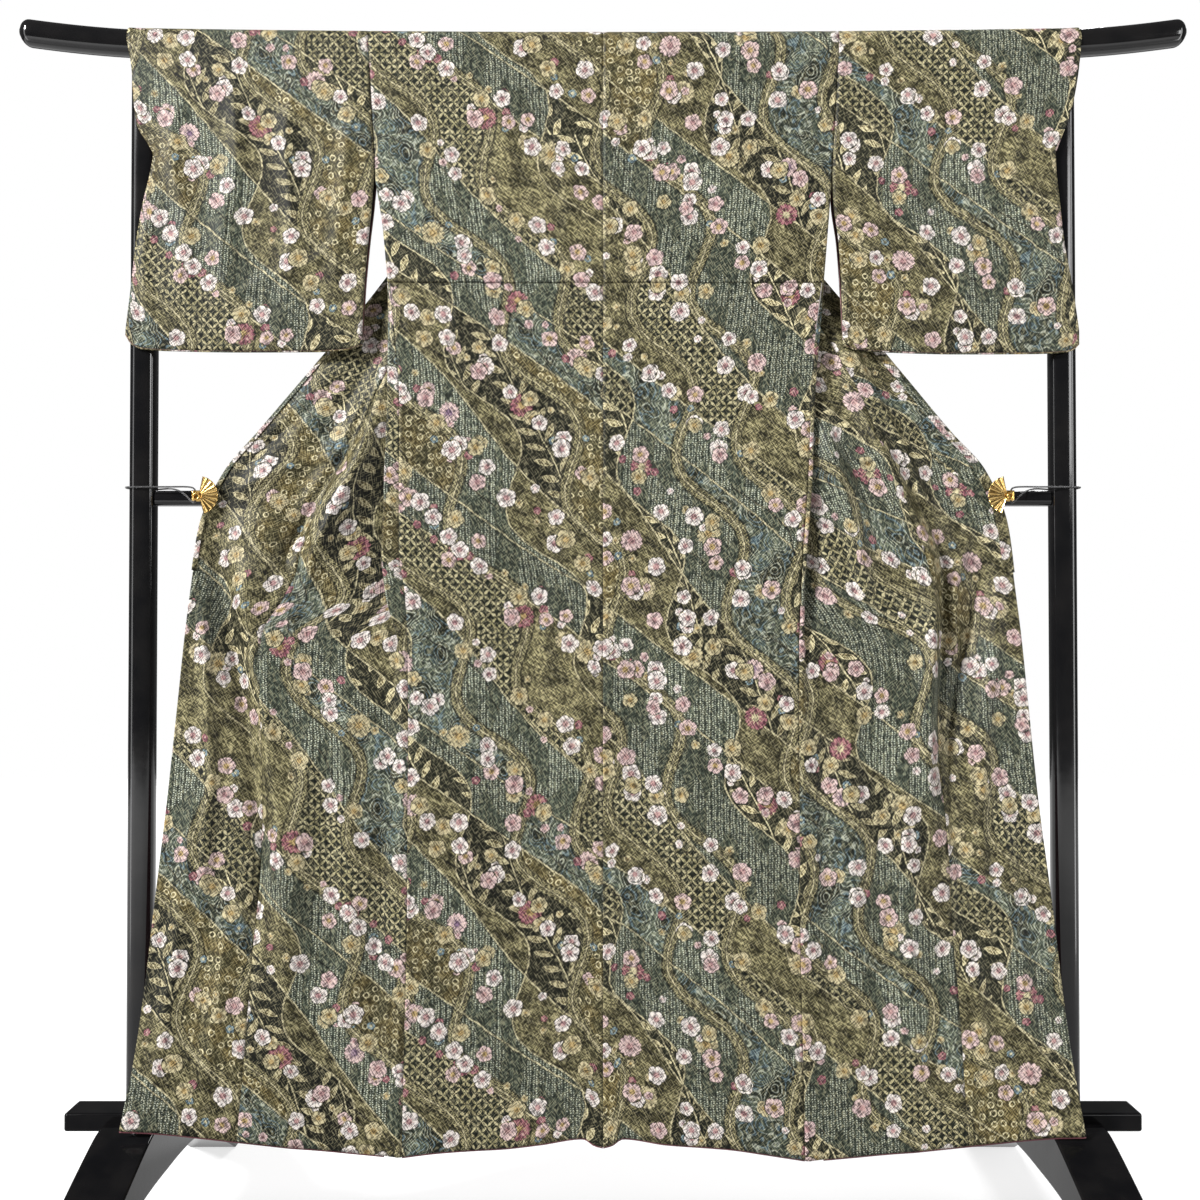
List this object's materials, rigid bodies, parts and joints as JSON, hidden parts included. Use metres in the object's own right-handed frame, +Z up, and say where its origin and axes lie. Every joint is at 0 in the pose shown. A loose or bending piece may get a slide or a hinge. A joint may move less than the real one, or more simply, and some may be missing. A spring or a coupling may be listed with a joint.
{
  "type": "kimono on a kimono stand",
  "caption": "Lined printed silk kimono seen from behind, hung by its sleeves on a black lacquered stand, its fronts held open by gold fan clips on elastic cords.",
  "frame": {"origin": "on the floor, in the middle of the stand's footprint, below the middle of the top bar", "axes": "+X along the top bar to the viewer's right, +Y away from the viewer of the kimono's back, +Z up"},
  "size_m": [1.694, 0.8398, 1.7685],
  "materials": {
    "printed_silk": "textured silk with a dense grey-green and olive print of bands, leaves and blossoms, soft sheen",
    "collar_silk": "the same printed silk",
    "rose_silk": "plain dusty rose silk facing, soft sheen",
    "black_lacquer": "polished black lacquer",
    "gold": "polished gold-coloured metal",
    "elastic": "matt black elastic cord"
  },
  "bodies": {
    "root": {"body_left": "printed_silk", "gore_left": "printed_silk", "sleeve_left": "printed_silk", "collar_left": "collar_silk", "collar_fold_left": "collar_silk", "back_facing_left": "rose_silk", "front_facing_left": "rose_silk", "post_left": "black_lacquer", "foot_left": "black_lacquer", "clip_fan_left": "gold", "clip_jaw_left": "gold", "elastic_left": "elastic", "body_right": "printed_silk", "gore_right": "printed_silk", "sleeve_right": "printed_silk", "collar_right": "collar_silk", "collar_fold_right": "collar_silk", "back_facing_right": "rose_silk", "front_facing_right": "rose_silk", "post_right": "black_lacquer", "foot_right": "black_lacquer", "clip_fan_right": "gold", "clip_jaw_right": "gold", "elastic_right": "elastic", "top_bar": "black_lacquer", "mid_rail": "black_lacquer", "base_plank": "black_lacquer"}
  },
  "joints": []
}
